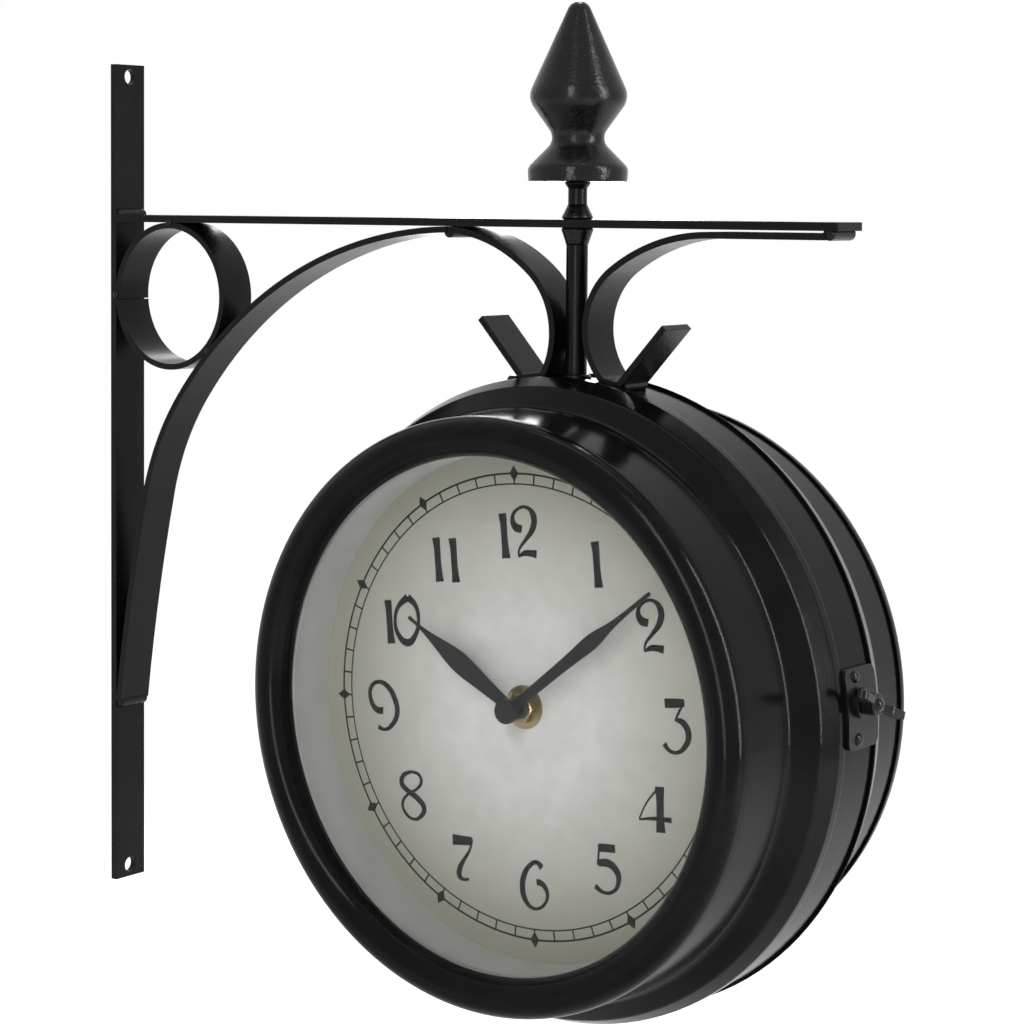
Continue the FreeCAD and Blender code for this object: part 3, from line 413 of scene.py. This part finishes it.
# %% Pen strokes of the ten digits
digits = {
    "0": [[(0.9, 8.6, 1.42), (-3.8, 4.8, 0.85), (-5.6, -0.1, 0.71), (-4.4, -5.6, 1.0), (-0.1, -8.6, 1.42),
           (3.6, -5.9, 1.0), (5.6, 0.0, 0.71), (4.4, 5.7, 1.0), (0.9, 8.6, 1.42)]],
    "1": [[(-0.5, 8.2, 1.7), (-0.1, 4.4, 1.42), (0.0, 0.3, 1.38), (0.2, -3.8, 1.42), (0.5, -8.2, 1.8)]],
    "2": [[(-0.9, 1.1, 1.34), (-3.7, 1.8, 1.5), (-4.9, 5.4, 0.8), (-2.2, 8.5, 0.55), (1.8, 8.9, 0.63),
           (4.4, 6.1, 1.26), (4.0, 1.7, 1.2), (0.4, -2.9, 0.7), (-2.5, -6.3, 0.47), (-3.0, -8.9, 0.4)],
          [(-3.1, -8.9, 0.4), (0.2, -7.6, 1.05), (2.9, -7.7, 1.15), (5.1, -8.0, 1.45)]],
    "3": [[(-4.2, 8.0, 1.58), (0.0, 8.2, 1.58), (3.9, 8.5, 1.34)],
          [(3.9, 9.1, 0.4), (1.8, 5.6, 0.47), (-0.2, 2.0, 0.4)],
          [(0.0, 2.5, 0.63), (3.1, 1.5, 1.19), (5.1, -2.5, 1.19), (3.5, -6.7, 0.95), (-0.2, -9.1, 0.63),
           (-3.4, -8.3, 0.71), (-5.1, -6.2, 0.95)]],
    "4": [[(2.3, 8.1, 1.58), (2.3, 2.9, 1.26), (2.1, -2.6, 1.26), (2.1, -8.1, 1.58)],
          [(1.0, 6.9, 0.4), (-3.6, 1.7, 0.32), (-6.7, -3.8, 0.32)],
          [(-6.8, -4.1, 0.32), (-1.5, -3.4, 0.63), (2.5, -3.3, 0.79), (6.8, -3.4, 0.95)]],
    "5": [[(-2.6, 7.4, 1.42), (1.1, 7.5, 1.42), (4.3, 7.5, 1.42)],
          [(-2.5, 8.6, 0.47), (-3.0, 4.6, 0.4), (-3.5, 1.1, 0.47)],
          [(-3.2, 1.8, 1.26), (0.9, 2.1, 1.42), (4.6, -0.5, 1.26), (5.1, -4.2, 0.95), (3.0, -7.6, 0.63),
           (-1.3, -8.6, 0.63), (-5.1, -6.6, 0.95)]],
    "6": [[(3.6, 6.8, 1.2), (1.3, 8.5, 0.8), (-1.9, 7.0, 0.85), (-4.6, 3.2, 1.1), (-5.5, -1.0, 1.2),
           (-4.7, -5.3, 1.1), (-2.2, -8.1, 0.7), (0.6, -8.5, 0.55), (3.8, -6.7, 0.6), (5.5, -3.5, 0.7),
           (4.7, -0.4, 1.0), (2.2, 1.3, 1.1), (0.9, 1.2, 1.1)]],
    "7": [[(-4.6, 6.8, 1.9), (-0.5, 6.8, 1.7), (4.5, 6.9, 1.5)],
          [(4.6, 7.7, 0.5), (3.2, 3.5, 0.5), (0.4, -0.3, 0.75), (-1.8, -3.9, 1.1), (-2.1, -6.5, 1.1),
           (-0.3, -7.7, 0.65), (2.3, -7.4, 0.45)]],
    "8": [[(-0.2, 9.0, 0.55), (-4.2, 7.1, 0.9), (-5.1, 4.2, 1.03), (-2.2, 1.5, 1.03), (2.2, -1.0, 1.1),
           (5.1, -4.5, 1.1), (3.0, -8.0, 0.75), (-0.1, -9.0, 0.55), (-3.8, -7.1, 0.62), (-5.1, -3.4, 0.62),
           (-2.4, 0.2, 0.55), (2.4, 2.8, 0.55), (4.3, 5.4, 0.7), (3.4, 7.9, 0.62), (-0.2, 9.0, 0.55)]],
    "9": [[(-0.5, -1.9, 1.37), (-3.7, -1.6, 1.16), (-6.3, 2.2, 0.9), (-5.9, 6.7, 0.82), (-2.3, 9.0, 0.7),
           (2.3, 7.4, 1.1), (5.4, 2.9, 1.16), (6.3, -2.0, 1.1), (3.6, -7.0, 0.9), (-0.1, -9.0, 0.62),
           (-3.3, -8.2, 0.82)]],
}

# %% Where the numerals stand on the dial
numerals = [
    ("1", 34.5, 52.7), ("2", 56.1, 31.6), ("3", 64.7, -3.1), ("4", 54.5, -32.8), ("5", 32.7, -55.9),
    ("6", 1.0, -65.0), ("7", -31.2, -58.3), ("8", -53.7, -36.5), ("9", -65.7, -3.4),
    ("1", -61.1, 28.7), ("0", -52.8, 29.7), ("1", -36.7, 52.8), ("1", -29.1, 52.7),
    ("1", -5.6, 62.2), ("2", 3.4, 63.7),
]


# %% Draw the strokes and press them flat
pen_weight = 1.22
pressed = 0.012


def pen_stroke(curve, points, middle):
    spline = curve.splines.new("BEZIER")
    spline.bezier_points.add(len(points) - 1)
    for knot, (across, up, half_width) in zip(spline.bezier_points, points):
        knot.co = ((middle[0] + across) * MM, 0.0, (middle[1] + up) * MM)
        knot.radius = half_width * pen_weight
        knot.handle_left_type = knot.handle_right_type = "AUTO"


def numeral_ring():
    curve = bpy.data.curves.new("pen_strokes", "CURVE")
    curve.dimensions = "3D"
    curve.bevel_depth = MM
    curve.bevel_resolution = 1
    curve.resolution_u = 5
    curve.use_fill_caps = True
    for digit, across, up in numerals:
        for points in digits[digit]:
            pen_stroke(curve, points, (across, up))
    holder = bpy.data.objects.new("pen_strokes", curve)
    bpy.context.scene.collection.objects.link(holder)
    bpy.context.view_layer.update()
    mesh = bpy.data.meshes.new_from_object(holder.evaluated_get(bpy.context.evaluated_depsgraph_get()))
    bpy.data.objects.remove(holder)
    shape = bmesh.new()
    shape.from_mesh(mesh)
    bpy.data.meshes.remove(mesh)
    flat = Matrix.Translation((0, ink_front, 0)) @ Matrix.Diagonal((1, pressed, 1, 1))
    bmesh.ops.transform(shape, matrix=flat, verts=shape.verts)
    return shape


finished(numeral_ring(), "front_numerals", dial_ink, to_dial(dial_turn), "clock")
finished(numeral_ring(), "rear_numerals", dial_ink, to_back() @ to_dial(dial_turn), "rear_door")

# %% [markdown]
# The clock hangs in the air beside no wall, as in the photograph, over a wide pale floor. The floor takes
# the lamps' light and a soft shadow. Under the clock it has no light of its own, so the shadow shows
# there. Further out a white of its own, for the camera only, makes it as pale as the background without
# adding light to the clock.

# %% Floor
floor_drop = 0.42
floor_height = cad_box[0].z - floor_drop
floor_radius = 5.0
floor_middle = 0.2
own_white_level = 0.68
own_white_starts = 0.75
own_white_is_full = 1.30


def white_for_camera(material_tree, path):
    first = material_tree.nodes.new("ShaderNodeMath")
    first.operation = "MAXIMUM"
    second = material_tree.nodes.new("ShaderNodeMath")
    second.operation = "MAXIMUM"
    material_tree.links.new(path.outputs["Is Camera Ray"], first.inputs[0])
    material_tree.links.new(path.outputs["Is Glossy Ray"], first.inputs[1])
    material_tree.links.new(first.outputs[0], second.inputs[0])
    material_tree.links.new(path.outputs["Is Transmission Ray"], second.inputs[1])
    return second.outputs[0]


def pale_floor():
    material, shader = new_material("pale floor")
    mottle = ranged(material, noise(material, 1.2, 3.0), 0.3, 0.7, 0.0, 1.0)
    join(material, mixed(material, mottle, (0.86, 0.86, 0.86), (0.88, 0.88, 0.88)),
         shader.inputs["Base Color"])
    shader.inputs["Roughness"].default_value = 0.9
    shader.inputs["Specular IOR Level"].default_value = 0.0
    path = add_node(material, "ShaderNodeLightPath")
    seen = white_for_camera(material.node_tree, path)
    place = add_node(material, "ShaderNodeTexCoord")
    away = add_node(material, "ShaderNodeVectorMath")
    away.operation = "LENGTH"
    join(material, place.outputs["Object"], away.inputs[0])
    own_white = ranged(material, away.outputs["Value"], own_white_starts, own_white_is_full,
                       0.0, own_white_level)
    product = add_node(material, "ShaderNodeMath")
    product.operation = "MULTIPLY"
    join(material, seen, product.inputs[0])
    join(material, own_white, product.inputs[1])
    join(material, product.outputs[0], shader.inputs["Emission Strength"])
    shader.inputs["Emission Color"].default_value = (1, 1, 1, 1)
    return material


shape = bmesh.new()
bmesh.ops.create_circle(shape, cap_ends=True, segments=96, radius=floor_radius)
bmesh.ops.transform(shape, matrix=Matrix.Translation((floor_middle, 0, floor_height)), verts=shape.verts)
mesh = bpy.data.meshes.new("floor")
shape.to_mesh(mesh)
mesh.materials.append(pale_floor())
floor = bpy.data.objects.new("floor", mesh)
bpy.context.scene.collection.objects.link(floor)
print("floor at", round(floor_height, 3))

# %% [markdown]
# The studio's white is the background. The camera, and every ray that a glossy or clear surface sends
# out, meets it at strength 1. Light that only fills the room comes from it too, at a much lower level.

# %% World
room_light = 0.17
background_white = 1.0
world = bpy.data.worlds.new("white studio")
world.use_nodes = True
bpy.context.scene.world = world
tree = world.node_tree
background = tree.nodes["Background"]
background.inputs["Color"].default_value = (1, 1, 1, 1)
path = tree.nodes.new("ShaderNodeLightPath")
level = tree.nodes.new("ShaderNodeMapRange")
level.inputs["To Min"].default_value = room_light
level.inputs["To Max"].default_value = background_white
tree.links.new(white_for_camera(tree, path), level.inputs["Value"])
tree.links.new(level.outputs["Result"], background.inputs["Strength"])

# %% [markdown]
# Black gloss shows its shape only by what it mirrors, so tall narrow lamps draw it: one at the front, a
# little to the camera's left, which also lights the dial, and one at the right and slightly behind, for
# the long lines down the rims and the drum. A short one above catches the level edges, and one behind
# lights the back dial. A weak sun stands behind the clock, where it leaves the front dial alone, and lays
# the shadow on the floor.

# %% Lamps
def soft_lamp(name, place, target, size, power):
    lamp = bpy.data.lights.new(name, "AREA")
    lamp.shape = "RECTANGLE"
    lamp.size, lamp.size_y = size
    lamp.energy = power
    holder = bpy.data.objects.new(name, lamp)
    bpy.context.scene.collection.objects.link(holder)
    holder.location = place
    holder.rotation_euler = (Vector(target) - Vector(place)).to_track_quat("-Z", "Y").to_euler()


middle = (0.20, 0.0, -0.02)
soft_lamp("key_strip", (0.75, -1.75, 0.55), middle, (0.22, 2.2), 20.0)
soft_lamp("right_strip", (1.95, 0.25, 0.55), middle, (0.12, 2.0), 36.0)
soft_lamp("top_strip", (0.2, -0.1, 1.8), middle, (1.2, 0.15), 2.0)
soft_lamp("back_strip", (-0.9, 1.6, 0.5), middle, (0.30, 1.6), 10.0)
sun = bpy.data.lights.new("shadow_sun", "SUN")
sun.energy = 0.9
sun.angle = math.radians(12)
sun_holder = bpy.data.objects.new("shadow_sun", sun)
bpy.context.scene.collection.objects.link(sun_holder)
sun_holder.rotation_euler = (math.radians(-25), math.radians(-15), 0)

# %% [markdown]
# The camera stands a little above the dial's middle and about 38 degrees round to the right of its axis.
# Its axes are worked out from the turn, the pitch and the small roll of the photograph. The picture is an
# off centre part of what the lens sees, so the lens is shifted.

# %% Camera
turn, pitch, roll = math.radians(38.35), math.radians(3.29), math.radians(0.32)
forward = Vector((-math.sin(turn) * math.cos(pitch), math.cos(turn) * math.cos(pitch), -math.sin(pitch)))
right = Vector((math.cos(turn), math.sin(turn), 0.0))
up = right.cross(forward)
rolled_right = math.cos(roll) * right + math.sin(roll) * up
rolled_up = math.cos(roll) * up - math.sin(roll) * right
camera_data = bpy.data.cameras.new("camera")
camera_data.sensor_width = 36.0
camera_data.lens = 92.334
camera_data.shift_x = 0.1071
camera_data.shift_y = -0.1565
camera_data.clip_start = 0.01
camera = bpy.data.objects.new("camera", camera_data)
bpy.context.scene.collection.objects.link(camera)
axes = Matrix((rolled_right, rolled_up, -forward)).transposed().to_4x4()
camera.matrix_world = Matrix.Translation((0.7830, -0.8000, 0.1165)) @ axes
bpy.context.scene.camera = camera
bpy.context.scene.view_settings.view_transform = "Standard"
print("camera looks along", [round(v, 3) for v in forward])
